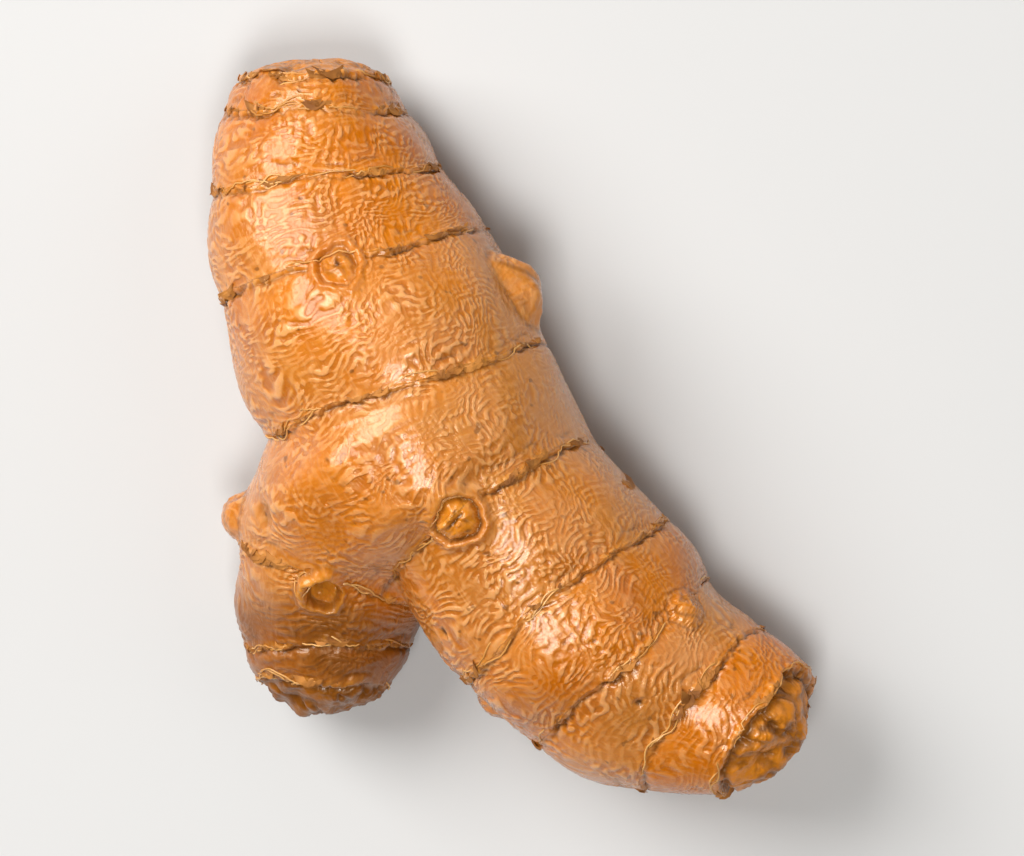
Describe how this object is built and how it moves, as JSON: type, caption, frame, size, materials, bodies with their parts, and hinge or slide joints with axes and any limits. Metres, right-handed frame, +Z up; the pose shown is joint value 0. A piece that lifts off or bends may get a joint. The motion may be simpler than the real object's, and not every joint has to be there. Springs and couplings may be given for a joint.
{
  "type": "turmeric root",
  "caption": "Fresh whole turmeric rhizome: a bent, tapering finger ringed by leaf scars, with buds on its skin and a short side finger forking from its flank.",
  "frame": {"origin": "under the middle of the bounding box, on the surface that the root rests on", "axes": "+Y towards the root's stem end, +X towards the side that its tip bends to, +Z up"},
  "size_m": [0.0548, 0.0664, 0.0255],
  "materials": {
    "skin": "finely wrinkled tan to orange skin with a moist sheen and brown scar lines"
  },
  "bodies": {
    "root": {"turmeric_root": "skin"}
  },
  "joints": []
}
